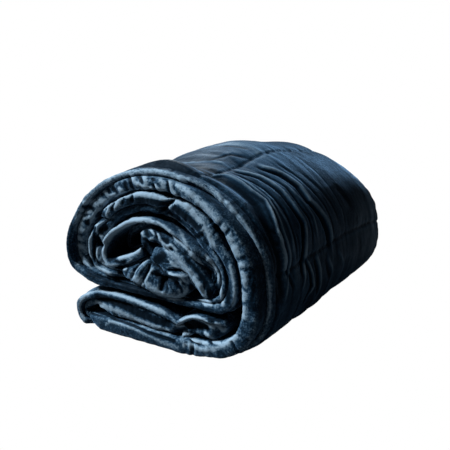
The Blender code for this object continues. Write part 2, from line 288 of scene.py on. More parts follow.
    (((64, 112), (70, 106)), 1, 4, 0.16),
    (((72, 102), (78, 96), (72, 89), (79, 83)), 1, 3.6, 0.3),
    (((66, 98), (70, 94)), -1.4, 2, -0.3),
    (((78, 92), (86, 84)), 1.2, 2.2, 0.4),
    (((82, 101), (86, 92)), -1.2, 2.6, -0.4),
    # The bundle: a fan of folds at its left, a dark star in its middle, pale along its lower edge.
    (((-10, 128), (-25, 121), (-40, 112), (-52, 103)), 1, 1.5, 0.36),
    (((-13, 124), (-27, 113), (-37, 101)), 0.8, 1.8, 0.3),
    (((-36, 94), (-20, 91), (-6, 87), (4, 83)), 0.4, 6.5, 0.26),
    (((10, 82), (26, 80), (40, 84), (50, 95), (54, 108)), 0, 4.5, 0.24),
    (((4, 109), (12, 103), (20, 108)), -1.5, 5.5, -0.42),
    (((12, 101), (12, 93), (9, 87)), -1.5, 3, -0.4),
    (((20, 114), (31, 112), (43, 113), (47, 107)), 0.8, 1.8, 0.36),
    (((28, 106), (38, 98)), -1, 3.8, -0.34),
    (((42, 106), (38, 93)), 0.5, 2.4, 0.2),
    (((-4, 113), (-12, 104), (-14, 98)), 0.6, 2, 0.24),
    (((-2, 121), (4, 128), (14, 136)), -0.5, 4.5, -0.3),
    (((22, 130), (34, 123), (49, 115)), 0.4, 3, 0.24),
    (((56, 101), (63, 98), (59, 89)), -1, 4, -0.5),
)

# The core shows as crumpled folds of the same cloth: one that slants across it, crushed at both ends, and a
# bundle that droops below. Each row of the slanting one is a point (x, z) of its middle line, and says how
# thick it is there, how far it stands back, how deep its gathers are and how crumpled it is.
SLANTING_FOLD = table(
    "x z thick back ruffle crumple",
    (-11, 124, 9, 12, 0.5, 0.4),
    (-17, 134, 11, 10, 0.6, 0.5),
    (-22, 145, 14, 6, 0.5, 0.6),
    (-16, 155, 18, 3, 0.6, 1),
    (-2, 156, 18, 2, 0.6, 1),
    (16, 151, 16, 2, 0.5, 0.8),
    (31, 143, 16, 2, 0.5, 0.6),
    (46, 132, 17, 1, 0.5, 0.6),
    (60, 118, 18, 2, 0.6, 0.8),
    (69, 106, 21, 3, 0.9, 1.4),
    (75, 97, 25, 4, 1, 1.8),
    (82, 90, 20, 8, 1, 1.8),
)
# The bundle's outline (x, z), clockwise.
BUNDLE = (
    (-62, 101), (-52, 107), (-29, 118), (-10, 129), (-3, 142), (17, 144), (31, 137), (45, 125), (53, 117),
    (55, 108), (52, 95), (43, 84), (30, 78), (2, 76), (-24, 81), (-46, 87), (-59, 91),
)
# Its middle, how far it stands back, how deep its front is domed, how far it reaches into the roll, over
# which distance its far end is rounded, and the height towards which it is squeezed behind its front.
BUNDLE_MIDDLE = (8, 104)
BUNDLE_BACK = -4.0
BUNDLE_DOME = 17.0
BUNDLE_REACH = 330.0
BUNDLE_END = 20.0
BUNDLE_SETTLES_TO = 125.0
BUNDLE_CREASES = table(
    "points depth width",
    (((30, 117), (24, 116), (18, 113)), 5, 2.6),
    (((30, 117), (40, 119), (50, 115), (54, 108)), 7, 2.4),
    (((20, 111), (34, 113), (45, 110)), -2.5, 4),
    (((20, 127), (10, 124), (36, 122)), 2.5, 7),
    (((13, 102), (6, 105), (-3, 105)), 5, 3.4),
    (((13, 102), (10, 96), (8, 88)), 5, 3.2),
    (((13, 102), (19, 106), (27, 104)), 4, 2.8),
    (((13, 102), (17, 97), (19, 92)), 3.5, 2.8),
    (((-11, 127), (-24, 118), (-35, 105), (-40, 94)), 8, 2),
    (((-16, 128), (-30, 121), (-47, 110)), -3, 3),
    (((-12, 121), (-24, 108), (-31, 96)), -2.5, 3),
    (((-11, 125), (-3, 119), (5, 117), (13, 112)), 7, 2.2),
    (((-8, 120), (-12, 108), (-21, 94), (-29, 82)), 3.5, 2.4),
    (((-11, 127), (-27, 120), (-45, 108), (-50, 95)), 4, 2),
    (((-22, 144), (-18, 134), (-11, 127)), 9, 3),
    (((-22, 96), (-18, 88), (-20, 79)), 1.6, 2),
    (((34, 102), (40, 97), (43, 88)), 2, 3),
)

# Pleats run round the outside of the roll, behind the rim. Each is a line of points (run, along), with its
# height, or its depth below 0, and its width. Run counts from the start of the base.
PLEATS = table(
    "points height width",
    # The flat strip behind the rim and the edge that stands up behind it.
    (((300, 44), (351, 46), (379, 48), (416, 56), (450, 55), (475, 53), (500, 52), (560, 58)), -4.5, 9),
    (((330, 62), (351, 63), (379, 66), (416, 80), (434, 74), (450, 73), (475, 70), (492, 47)), 3.2, 3.2),
    (((300, 58), (330, 72), (379, 76), (416, 90), (434, 86), (460, 84)), 1.8, 2.6),
    (((475, 76), (501, 73), (549, 81)), -5, 8),
    # Two strong pleats.
    (((317, 105), (354, 116), (372, 126), (390, 125), (418, 125), (450, 118), (475, 103)), -4.2, 3.4),
    (((317, 112), (354, 123), (372, 133), (390, 132), (418, 132), (450, 126), (475, 112)), 2.2, 3.4),
    (((331, 193), (347, 189), (367, 184), (393, 171), (416, 171), (441, 160), (464, 144)), -4, 4),
    (((331, 202), (347, 198), (367, 193), (393, 180), (416, 180), (441, 169), (464, 153)), 2.6, 4.5),
    # Finer ones between them and beside the seam on the right.
    (((340, 92), (379, 100), (397, 106), (430, 104), (470, 92)), -2.2, 2.2),
    (((350, 84), (380, 91), (410, 97), (440, 95)), 1.6, 2.2),
    (((345, 140), (374, 150), (388, 146), (420, 148), (455, 133)), -2, 2.4),
    (((350, 156), (374, 162), (400, 158), (430, 150)), 1.6, 2.6),
    (((340, 214), (380, 208), (420, 196), (455, 182)), -1.8, 3.4),
    (((350, 236), (390, 228), (430, 214)), -1.4, 4.5),
    (((273, 133), (287, 145), (308, 136), (331, 121)), 2.6, 2.4),
    (((270, 127), (287, 138), (308, 129), (329, 115)), -2.2, 2.6),
    (((273, 167), (301, 159), (326, 151)), 2.4, 2.6),
    (((270, 160), (298, 152), (324, 143)), -2.2, 2.8),
    (((294, 106), (308, 113), (333, 109)), 2, 2.4),
    (((287, 205), (312, 189)), 1.8, 3.6),
    (((283, 196), (308, 181)), -1.6, 3.4),
    (((285, 250), (312, 227)), 1.5, 4.5),
    (((289, 315), (319, 307)), -1.2, 6),
    (((363, 291), (395, 279)), -2.2, 8),
    (((305, 79), (328, 67)), -2.5, 3.5),
    # Streaks over the top.
    (((489, 154), (510, 140), (521, 112)), -2.2, 5.5),
    (((519, 227), (544, 222), (570, 198)), -2.2, 6),
    # Soft pleats down the left.
    (((590, 130), (640, 142), (700, 150), (760, 146)), -1.5, 8),
    (((570, 152), (640, 164), (700, 170), (740, 166)), 1, 9),
    (((610, 262), (680, 250), (760, 256)), -1.5, 9),
    (((560, 330), (640, 318), (720, 326)), 1.1, 10),
    (((640, 60), (690, 66), (760, 62)), -1.4, 7),
    (((500, 110), (540, 100), (580, 104)), 2, 5),
    (((500, 178), (540, 170), (590, 176)), -2, 5),
)
# A pleat's height comes and goes over this distance at its ends.
PLEAT_ENDS = 24.0

# Dents press the outside in, or raise it if their depth is below 0: their place and reach (run, along), their
# depth, and how much painted highlight they add, or painted shade below 0.
DENTS = table(
    "place reach depth shade",
    ((575, 80), (80, 55), 9.5, -0.08),
    ((478, 118), (26, 20), 3.5, 0),
    # Towards the far end the upper right is darkened with painted shade.
    ((430, 330), (60, 95), 0, -0.3),
    # Behind the rim on the right the crushed cloth gets painted highlight.
    ((352, 60), (42, 12), 0, 0.14),
    # The cloth puffs up behind the rim, where it is darkened with painted shade.
    ((532, 32), (46, 17), -10, -0.32),
    # The top swells up between the cross seams, with painted highlight on the swell, and sinks at the first
    # of them.
    ((508, 200), (60, 56), -5.5, 0.14),
    ((535, 98), (34, 26), 3.5, 0),
)
# Behind the rim on the right the cloth is crushed: the patch's place and reach (run, along), how high the
# crumples are and how far apart.
CRUSHED_PLACE = (352, 61)
CRUSHED_REACH = (46, 15)
CRUSHED_HEIGHT = 2.2
CRUSHED_PITCH = 7.0

# Many small pleats run round the roll, in layers: how far apart they are, how long they run and how high they
# stand, or how deep they lie below 0.
FINE_PLEATS = table("pitch length height", (44, 230, 2.2), (21, 180, -0.6), (8, 120, 0.15))

# The curve through the legs' points has this many steps from one to the next, and stations lie on it at this
# pitch. Their sections are dense from the start of one leg until past the start of another.
CURVE_STEPS = 24
STATION_PITCH = 2.3
DENSE_FROM = "base"
DENSE_UNTIL = "under roll"
PAST_CORNER = 45.0

# The gap between the two members, and how far it reaches into the roll.
LAYER_GAP = 1.2
GAP_DEPTH = 62.0
# The distance over which the far end and both ends of the route are rounded off, and, at most, the edges of
# the hem, of the fold and of the core's slanting fold.
FAR_ROUNDING = 15.0
END_ROUNDING = 12.0
HEM_EDGE = 5.0
FOLD_EDGE = 5.5
CORE_EDGE = 7.0
# The outer member is this much thinner at its hem, and comes to its full thickness within this distance.
HEM_TUCK = 3.2
HEM_TUCK_REACH = 16.0
# Its stitches lie this far behind its edge.
STITCHES_BACK = 14.0

# How far apart the gathers are along a hem, a fold and the folded far end, and how deep they are there.
HEM_PUFF = 7.5
FOLD_PUFF = 13.0
FAR_PUFF = 23.0
FAR_GATHER = 2.0
# How far apart the crumples are at the edges of the turns and in the core.
EDGE_PITCH = 13.0
CORE_PITCH = 11.0
# How far behind an edge, or behind the open end, gathers, creases and strokes keep their full height, and the
# distance over which they fade beyond it.
HEM_FADE = (8, 10)
FOLD_FADE = (12, 16)
FAR_FADE = (12, 28)
CORE_FADE = (6, 22)
FACE_FADE = (8, 14)
BUNDLE_FADE = (8, 16)

# How many points a section has round the far end, the fold and the hem, and down and up the gap.
FAR_POINTS = 10
FOLD_POINTS = 16
HEM_POINTS = 14
GAP_POINTS = (9, 7)
# The shares of the length at which it has one: outside, from the hem to the far end, and inside, on the way
# back to the fold.
NEAR_STEPS = np.linspace(0, 0.09, 15, endpoint=False)
SHOWN_STEPS = np.linspace(0.09, 0.62, 118, endpoint=False)
DENSE_STEPS = np.concatenate([NEAR_STEPS, SHOWN_STEPS, np.linspace(0.62, 1, 46)])
SPARSE_STEPS = np.concatenate([NEAR_STEPS, np.linspace(0.09, 1, 12)])
BACK_STEPS = np.concatenate([np.linspace(0, 0.88, 6, endpoint=False), np.linspace(0.88, 1, 8)])

# The far end, where the fold is soft, sinks and draws in: the share of the height and of the width in front.
FAR_ALONG = (0.0, 250.0, 360.0, 424.0)
FAR_SINK = (0.0, 0.0, -0.06, -0.17)
FAR_DRAW_IN = (0.0, 0.0, 0.0, -0.03)

# How strongly the strokes paint highlight and shade, how much painted highlight a pleat adds for each mm of
# its height (painted shade for each mm of its depth), the tone where the cloth is flat, how much painted
# highlight a sharp ridge adds (painted shade in a sharp hollow), and the bend, in 1/mm, at which three
# quarters of that is reached.
STROKE_PAINTED_LIGHT = 1.45
PLEAT_PAINTED_LIGHT = 0.07
FLAT_SHADE = 0.4
BEND_PAINTED_LIGHT = 0.18
PAINTED_LIGHT_BEND = 0.2

# Quilting: seams run along the outside of the roll at this pitch round it, and cross seams run round it.
QUILT_PITCH = 155.0
FIRST_SEAM = 20.0
FIRST_CROSS_SEAM = 104.0
# The depth and width of the stitches' groove and of the dip round it, and how far the puckers beside it go.
SEAM_GROOVES = ((2.0, 2.6), (2.2, 16))
CROSS_SEAM_GROOVES = ((0.6, 3.0), (1.2, 18))
SEAM_PUCKER = 14.0


class Noise:
    """Smooth random heights from -1 to 1 over a plane, from a seeded table."""

    SIZE = 256

    def __init__(self, seed):
        self.table = np.random.default_rng(seed).random((self.SIZE, self.SIZE)) * 2 - 1

    def __call__(self, u, v):
        u, v = np.broadcast_arrays(np.asarray(u, float), np.asarray(v, float))
        column, row = np.floor(u).astype(int), np.floor(v).astype(int)
        du, dv = u - column, v - row
        du, dv = du * du * (3 - 2 * du), dv * dv * (3 - 2 * dv)
        left, right = column % self.SIZE, (column + 1) % self.SIZE
        below, above = row % self.SIZE, (row + 1) % self.SIZE
        low = self.table[left, below] * (1 - du) + self.table[right, below] * du
        high = self.table[left, above] * (1 - du) + self.table[right, above] * du
        return low * (1 - dv) + high * dv


def ease(value):
    """0 below 0, 1 above 1, and a smooth step between."""
    value = np.clip(value, 0.0, 1.0)
    return value * value * (3 - 2 * value)


def bell(off, width):
    """1 at 0, and falls off to both sides over this width."""
    return np.exp(-((off / width) ** 2))


def fading(depth, full, distance):
    """1 down to the full depth, and fades out over this distance beyond it."""
    return np.exp(-np.clip(depth - full, 0, None) / distance)


def smooth_route(points):
    """A Catmull-Rom curve through control points, and the place of each of its points in their list."""
    ends = np.array([points[0], *points, points[-1]], float)
    t = np.arange(CURVE_STEPS) / CURVE_STEPS
    weights = np.stack(
        (-t + 2 * t**2 - t**3, 2 - 5 * t**2 + 3 * t**3, t + 4 * t**2 - 3 * t**3, t**3 - t**2)
    )
    spans = [weights.T @ ends[i : i + 4] / 2 for i in range(len(points) - 1)]
    places = np.arange((len(points) - 1) * CURVE_STEPS + 1) / CURVE_STEPS
    return np.vstack([*spans, ends[-1:]]), places


class Route:
    """Stations at an even pitch along the route, with the legs' sizes blended from one leg to the next."""

    def __init__(self, points, columns):
        curve, places = smooth_route(points)
        runs = np.concatenate([[0], np.cumsum(np.linalg.norm(np.diff(curve, axis=0), axis=1))])
        self.length = runs[-1]
        self.run = np.linspace(0, self.length, int(round(self.length / STATION_PITCH)) + 1)
        self.x = np.interp(self.run, runs, curve[:, 0])
        self.z = np.interp(self.run, runs, curve[:, 1])
        heading = np.stack([np.gradient(self.x), np.gradient(self.z)])
        heading /= np.linalg.norm(heading, axis=0)
        self.out_x, self.out_z = heading[1], -heading[0]
        place = np.interp(self.run, runs, places)
        self.columns = tuple(columns)
        for column, values in columns.items():
            setattr(self, column, np.interp(place, range(len(points)), values))
        self.places, self.runs = places, runs
        # Both ends of the route are rounded off in thickness.
        nearest_end = np.minimum(self.run, self.length - self.run)
        self.full = np.sqrt(np.clip(1 - (1 - np.clip(nearest_end / END_ROUNDING, 0, 1)) ** 2, 0.02, 1))

    def run_at(self, index):
        """How far along the route a control point lies."""
        return float(np.interp(index, self.places, self.runs))

    def part(self, first, last):
        """The same route, cut to the stations from run `first` to run `last`."""
        kept = (self.run >= first - STATION_PITCH / 2) & (self.run <= last + STATION_PITCH / 2)
        piece = object.__new__(Route)
        piece.__dict__.update(self.__dict__)
        for name in ("run", "x", "z", "out_x", "out_z", "full", *self.columns):
            setattr(piece, name, getattr(self, name)[kept])
        return piece


def route_along_legs():
    """The whole roll's route, which also knows where each leg starts and ends."""
    points = [point for leg in LEGS for point in leg.points]
    names = [leg.name for leg in LEGS for _ in leg.points]
    columns = {c: [getattr(leg, c) for leg in LEGS for _ in leg.points] for c in LEGS[0]._fields[2:]}
    route = Route(points, columns)
    # Where the gathers are deep, the cloth is crumpled too.
    route.crumple = np.clip(0.35 + 0.35 * (route.hem_ruffle + route.fold_ruffle), 0, 1.3)
    route.columns += ("crumple",)
    route.start_of = {name: route.run_at(names.index(name)) for name in names}
    route.end_of = {name: route.run_at(last) for last, name in enumerate(names)}
    return route


# ---- the section

OUTER, FAR, INNER, FOLD, GAP, HEM = range(6)


def half_circle(count):
    """Angles from -90 to 90 degrees, ends left out."""
    return (np.arange(count) + 0.5) / count * math.pi - math.pi / 2


def flattened(value, power=0.78):
    """A sine or cosine, changed so that its half circle gets a flatter front."""
    return math.copysign(abs(value) ** power, value)


def section_rows(route, outer_steps):
    """Offset outwards, distance along and kind of each point of the section, for every station."""
    gap = LAYER_GAP / 2
    outer = route.outer * route.full
    inner = route.inner * route.full
    hem, fold, lip = route.hem_back, route.fold_back, route.lip
    hem_round = np.minimum(0.55 * outer, HEM_EDGE)
    fold_round = np.minimum(0.5 * inner, FOLD_EDGE)
    offsets, alongs, kinds = [], [], []

    def add(offset, along, kind):
        offsets.append(offset + 0 * route.run)
        alongs.append(along + 0 * route.run)
        kinds.append(kind)

    lip_end = hem + hem_round
    tuck = np.minimum(HEM_TUCK, 0.3 * outer)
    for step in outer_steps:
        behind = (LENGTH - FAR_ROUNDING - lip_end) * step
        add(gap + outer - tuck * bell(behind, HEM_TUCK_REACH), lip_end + behind, OUTER)
    middle = (outer - inner) / 2
    half = gap + (outer + inner) / 2
    for angle in half_circle(FAR_POINTS)[::-1]:
        sideways = middle + half * flattened(math.sin(angle), 0.8)
        add(sideways, LENGTH - FAR_ROUNDING * (1 - math.cos(angle)), FAR)
    for step in BACK_STEPS:
        add(-gap - inner, LENGTH - FAR_ROUNDING + (fold + fold_round - LENGTH + FAR_ROUNDING) * step, INNER)
    for angle in half_circle(FOLD_POINTS):
        sideways = -gap - inner / 2 + inner / 2 * flattened(math.sin(angle))
        bulge = lip * ease(math.sin(angle)) * ease((hem - fold) / 10)
        add(sideways + bulge, fold + fold_round * (1 - flattened(math.cos(angle))), FOLD)
    for step in np.linspace(0, 1, GAP_POINTS[0]):
        along = fold + fold_round + (GAP_DEPTH - fold - fold_round) * step
        bulge = lip * ease((hem - 1 - along) / 8)
        add(-gap + bulge, along, GAP)
    add(0, GAP_DEPTH + gap, GAP)
    for step in np.linspace(1, 0, GAP_POINTS[1]):
        add(gap, lip_end + (GAP_DEPTH - lip_end) * step, GAP)
    for angle in half_circle(HEM_POINTS):
        sideways = gap + (outer - tuck) / 2 * (1 + flattened(math.sin(angle)))
        add(sideways, hem + hem_round * (1 - flattened(math.cos(angle))), HEM)
    return np.array(offsets).T, np.array(alongs).T, np.array(kinds)


def place_points(route, offsets, alongs):
    """Section points of every station, in millimetres, with the far end sunk and drawn in."""
    sink = np.interp(alongs, FAR_ALONG, FAR_SINK)
    draw_in = np.interp(alongs, FAR_ALONG, FAR_DRAW_IN)
    x = (route.x[:, None] + offsets * route.out_x[:, None]) * (1 + draw_in)
    z = (route.z[:, None] + offsets * route.out_z[:, None]) * (1 + sink)
    return np.stack([x, FRONT + alongs, z], axis=-1)


def grid_normals(points):
    """Outward normals of a grid of points whose rows close on themselves."""
    across = np.roll(points, -1, axis=1) - np.roll(points, 1, axis=1)
    onward = np.gradient(points, axis=0)
    normals = np.cross(across, onward)
    return normals / np.maximum(np.linalg.norm(normals, axis=-1, keepdims=True), 1e-9)


def convexity(points):
    """How sharply the surface bends outwards at each point of a grid, in 1/mm, and below 0 in a hollow."""
    normals = grid_normals(points)
    bend = np.zeros(points.shape[:2])
    across = np.roll(points, -1, axis=1) - np.roll(points, 1, axis=1)
    turned = np.roll(normals, -1, axis=1) - np.roll(normals, 1, axis=1)
    for step, turn in ((across, turned), (np.gradient(points, axis=0), np.gradient(normals, axis=0))):
        bend += (step * turn).sum(axis=-1) / np.maximum((step**2).sum(axis=-1), 0.3)
    return bend


# ---- pleats and gathers

def nearest_on_line(x, z, points):
    """Distance from each place to a line of points, and the share of the line that lies before it."""
    best = np.full(x.shape, np.inf)
    share = np.zeros(x.shape)
    spans = len(points) - 1
    for i in range(spans):
        (x0, z0), (x1, z1) = points[i], points[i + 1]
        dx, dz = x1 - x0, z1 - z0
        t = np.clip(((x - x0) * dx + (z - z0) * dz) / (dx**2 + dz**2), 0, 1)
        distance = np.hypot(x - x0 - t * dx, z - z0 - t * dz)
        share = np.where(distance < best, (i + t) / spans, share)
        best = np.minimum(distance, best)
    return best, share


def shown_place(points):
    """Where the points show, in x and z, on the plane of the open end."""
    eye_x, eye_y, eye_z = np.array(CAMERA_PLACE) / MM
    nearer = (FRONT - eye_y) / np.maximum(points[..., 1] - eye_y, 1)
    return eye_x + (points[..., 0] - eye_x) * nearer, eye_z + (points[..., 2] - eye_z) * nearer


def press_creases(points, creases, fade):
    """Presses creases and strokes into the part of a surface that lies near the open end. Returns the
    strokes'
    painted light: painted highlight where it is above 0, painted shade where it is below 0."""
    x, z = shown_place(points)
    along = points[..., 1] - FRONT
    near = fading(along, *fade)
    painted_light = np.zeros(x.shape)
    for crease in creases:
        distance, share = nearest_on_line(x, z, crease.points)
        depth = crease.depth * (1 - 0.7 * share**2) * bell(distance, crease.width)
        points[..., 1] += depth * near
    # Each stroke also paints highlight and shade into the colour, where the surface doesn't face into the
    # roll.
    faces_out = grid_normals(points)[..., 1] < 0.3
    for stroke in FACE_STROKES:
        mark = bell(nearest_on_line(x, z, stroke.points)[0], stroke.width) * near
        points[..., 1] -= stroke.height * mark
        painted_light += STROKE_PAINTED_LIGHT * stroke.shade * mark * faces_out
    return painted_light


def placed_pleats(run, along):
    """Height of the listed pleats."""
    height = np.zeros_like(run)
    for pleat in PLEATS:
        runs, alongs = np.array(pleat.points, float).T
        off = along - np.interp(run, runs, alongs)
        ends = ease((run - runs[0]) / PLEAT_ENDS + 0.5) * ease((runs[-1] - run) / PLEAT_ENDS + 0.5)
        height += pleat.height * ends * bell(off, pleat.width)
    return height


def mound(run, along, place, reach):
    """1 at a place (run, along) of the outside, and falls off over its reach each way."""
    return np.exp(-(((run - place[0]) / reach[0]) ** 2 + ((along - place[1]) / reach[1]) ** 2))


def dented(run, along):
    """Height of the dents, and their painted light: painted highlight above 0, painted shade below 0."""
    height, painted_light = np.zeros_like(run), np.zeros_like(run)
    for dent in DENTS:
        share = mound(run, along, dent.place, dent.reach)
        height -= dent.depth * share
        painted_light += dent.shade * share
    return height, painted_light


def crushed_patch(run, along):
    """Height of the crumples in the crushed patch."""
    share = mound(run, along, CRUSHED_PLACE, CRUSHED_REACH)
    return CRUSHED_HEIGHT * share * crumples(run / 2, along, CRUSHED_PITCH, seed=90)


def fine_pleats(run, along):
    """Height of the many small pleats that run round the roll."""
    height = np.zeros_like(run)
    for seed, layer in enumerate(FINE_PLEATS, start=1):
        drift = 9 * Noise(seed + 20)(run / 120, along / 70)
        wave = Noise(seed)((along + drift) / layer.pitch, run / layer.length)
        height += layer.height * (1 - 2 * np.abs(wave))
    # They start behind the rim, and are fewer towards the far end.
    busy = ease((along - 58) / 30) * (1 - 0.85 * ease((along - 215) / 60))
    return height * (0.12 + 0.88 * busy)


def quilting(run, along):
    """Height of the quilting seams, narrow grooves in shallow dips, with the puckers beside them."""
    off, across = run - FIRST_SEAM, along - FIRST_CROSS_SEAM
    off = off - np.round(off / QUILT_PITCH) * QUILT_PITCH
    across = across - np.round(across / QUILT_PITCH) * QUILT_PITCH
    pucker = Noise(31)(along / 6.5, run / 50) * bell(off, SEAM_PUCKER)
    pucker += 0.5 * Noise(32)(run / 8.5, along / 60) * bell(across, SEAM_PUCKER)
    groove = sum(depth * bell(off, width) for depth, width in SEAM_GROOVES)
    groove += sum(depth * bell(across, width) for depth, width in CROSS_SEAM_GROOVES)
    return 0.9 * pucker - groove


def gathers(run, depth, pitch, seed):
    """Height, up to about 1, of the puffs between the gathers that cross a hem or a fold."""
    slant = 0.5 * Noise(seed)(run / 60, 0.5) * depth
    place = (run + slant) / pitch + 0.55 * Noise(seed + 1)(run / (1.8 * pitch), depth / 40)
    size = 0.5 + 0.5 * Noise(seed + 2)(np.floor(place) * 1.7, 0.5)
    puff = size * (np.abs(np.sin(math.pi * place)) ** 0.65 - 0.55)
    fine = Noise(seed + 3)((run + slant) / (0.34 * pitch), depth / 14)
    return puff + 0.22 * fine


def crumples(u, v, pitch, seed):
    """Height, up to about 1, of cloth crushed every way: soft mounds with narrow valleys between them."""
    broad_u, broad_v = u / (1.6 * pitch), v / (1.6 * pitch)
    bend_u = u + 0.7 * pitch * Noise(seed)(broad_u, broad_v)
    bend_v = v + 0.7 * pitch * Noise(seed + 1)(broad_u, broad_v)
    mounds = 2 * np.abs(Noise(seed + 2)(bend_u / pitch, bend_v / pitch)) ** 0.7 - 1
    return 0.8 * mounds + 0.2 * Noise(seed + 3)(bend_u / (0.5 * pitch), bend_v / (0.5 * pitch))


def relief(route, offsets, alongs, kinds, outside):
    """How far each point of the grid moves out along its normal."""
    run = route.run[:, None] + 0 * alongs
    height = 0.5 * Noise(7)(run / 26, alongs / 24)
    kind = np.broadcast_to(kinds, alongs.shape)
    hem_depth = alongs - route.hem_back[:, None]
    fold_depth = alongs - route.fold_back[:, None]
    near_hem = fading(hem_depth, *HEM_FADE)
    near_fold = fading(fold_depth, *FOLD_FADE)
    on_hem = (kind == HEM) | (kind == OUTER)
    on_fold = (kind == FOLD) | (kind == INNER)
    height += on_hem * near_hem * route.hem_ruffle[:, None] * gathers(run, hem_depth, HEM_PUFF, seed=40)
    height += on_fold * near_fold * route.fold_ruffle[:, None] * gathers(run, fold_depth, FOLD_PUFF, seed=50)
    edge = on_hem * near_hem + on_fold * near_fold
    crushed = crumples(run, offsets * 1.2 + alongs, EDGE_PITCH, seed=55)
    height += 0.9 * edge * route.crumple[:, None] * crushed
    # The folded end is gathered too.
    far_depth = LENGTH - alongs
    on_far = (kind == OUTER) | (kind == FAR) | (kind == INNER)
    far_gathers = FAR_GATHER * gathers(run, far_depth, FAR_PUFF, seed=80)
    height += on_far * fading(far_depth, *FAR_FADE) * far_gathers
    # The stitches draw the hem in, and the cloth puffs up behind them.
    behind = hem_depth - STITCHES_BACK
    height += (kind == OUTER) * (0.9 * bell(behind - 6, 3) - 1.7 * bell(behind, 2.2))
    if outside:
        # What is laid over the outside comes up behind the hem and near the ends of the outside.
        start, end = route.start_of[OUTSIDE[0]], route.end_of[OUTSIDE[1]]
        shown = ease((run - start + 30) / 40) * ease((end + 20 - run) / 40)
        shown *= ease((hem_depth - 8) / 16)
        over = (kind == OUTER) | (kind == FAR)
        from_base = run - start
        laid = placed_pleats(from_base, alongs) + dented(from_base, alongs)[0]
        laid += fine_pleats(from_base, alongs) + crushed_patch(from_base, alongs)
        height += over * shown * (laid + quilting(from_base, alongs))
    return height * route.full[:, None]


def painted_bend_light(points):
    """Painted light from the bends: painted highlight over ridges and edges, painted shade in hollows and
    creases.
    """
    bend = convexity(points)
    bend = (2 * bend + np.roll(bend, 1, axis=1) + np.roll(bend, -1, axis=1)) / 4
    return FLAT_SHADE + BEND_PAINTED_LIGHT * np.tanh(bend / PAINTED_LIGHT_BEND)


# ---- meshes

def mesh_object(name, points, shade, material):
    """A closed mesh over a grid whose rows close on themselves, with a flat cap at each end. The shade,
    stored as a point attribute, is the painted light at each point: from 0, painted shade, to 1, painted
    highlight."""
    stations, rows = points.shape[:2]
    points[..., 2] = np.maximum(points[..., 2], 0.0)
    index = np.arange(stations * rows).reshape(stations, rows)
    after = np.roll(index, -1, axis=1)
    quads = np.stack([index[:-1], after[:-1], after[1:], index[1:]], axis=-1).reshape(-1, 4)
    corners = np.concatenate([points.reshape(-1, 3), points[[0, -1]].mean(axis=1)])
    first_cap = np.stack([after[0], index[0], np.full(rows, stations * rows)], axis=-1)
    last_cap = np.stack([index[-1], after[-1], np.full(rows, stations * rows + 1)], axis=-1)
    mesh = bpy.data.meshes.new(name)
    mesh.from_pydata((corners * MM).tolist(), [], [*quads.tolist(), *first_cap.tolist(), *last_cap.tolist()])
    mesh.materials.append(material)
    mesh.shade_smooth()
    # This attribute carries painted shade and painted highlight into the colour, with some of the velvet's
    # own tone.
    pile = mesh.attributes.new("pile", "FLOAT", "POINT")
    pile.data.foreach_set("value", [*shade.ravel().tolist(), *shade[[0, -1]].mean(axis=1).tolist()])
    # A cap's rim is a sharp edge, so that the cap doesn't darken the cloth beside it.
    ends = np.empty(2 * len(mesh.edges), int)
    mesh.edges.foreach_get("vertices", ends)
    on_rim = np.zeros(len(corners), int)
    on_rim[index[0]], on_rim[index[-1]] = 1, 2
    first, last = on_rim[ends.reshape(-1, 2)].T
    mesh.edges.foreach_set("use_edge_sharp", (first == last) & (first > 0))
    made = bpy.data.objects.new(name, mesh)
    bpy.context.scene.collection.objects.link(made)
    return made


def rolled_piece(name, route, span, outer_steps, outside, material):
    """The roll between two places of its route. Its relief is worked out a little past both of them."""
    route = route.part(span[0] - 3 * STATION_PITCH, span[1] + 3 * STATION_PITCH)
    offsets, alongs, kinds = section_rows(route, outer_steps)
    points = place_points(route, offsets, alongs)
    points += grid_normals(points) * relief(route, offsets, alongs, kinds, outside)[..., None]
    # Painted highlight and painted shade from the strokes and the bends.
    shade = press_creases(points, FACE_CREASES, FACE_FADE) + painted_bend_light(points)
    if outside:
        # On the outside the pleats' ridges get painted highlight and their troughs painted shade, and the
        # dents add theirs.
        from_base = route.run[:, None] - route.start_of[OUTSIDE[0]] + 0 * alongs
        painted_light = PLEAT_PAINTED_LIGHT * placed_pleats(from_base, alongs) + dented(from_base, alongs)[1]
        shade += (kinds == OUTER) * painted_light
    kept = (route.run > span[0] - STATION_PITCH / 2) & (route.run < span[1] + STATION_PITCH / 2)
    return mesh_object(name, points[kept], shade[kept], material)


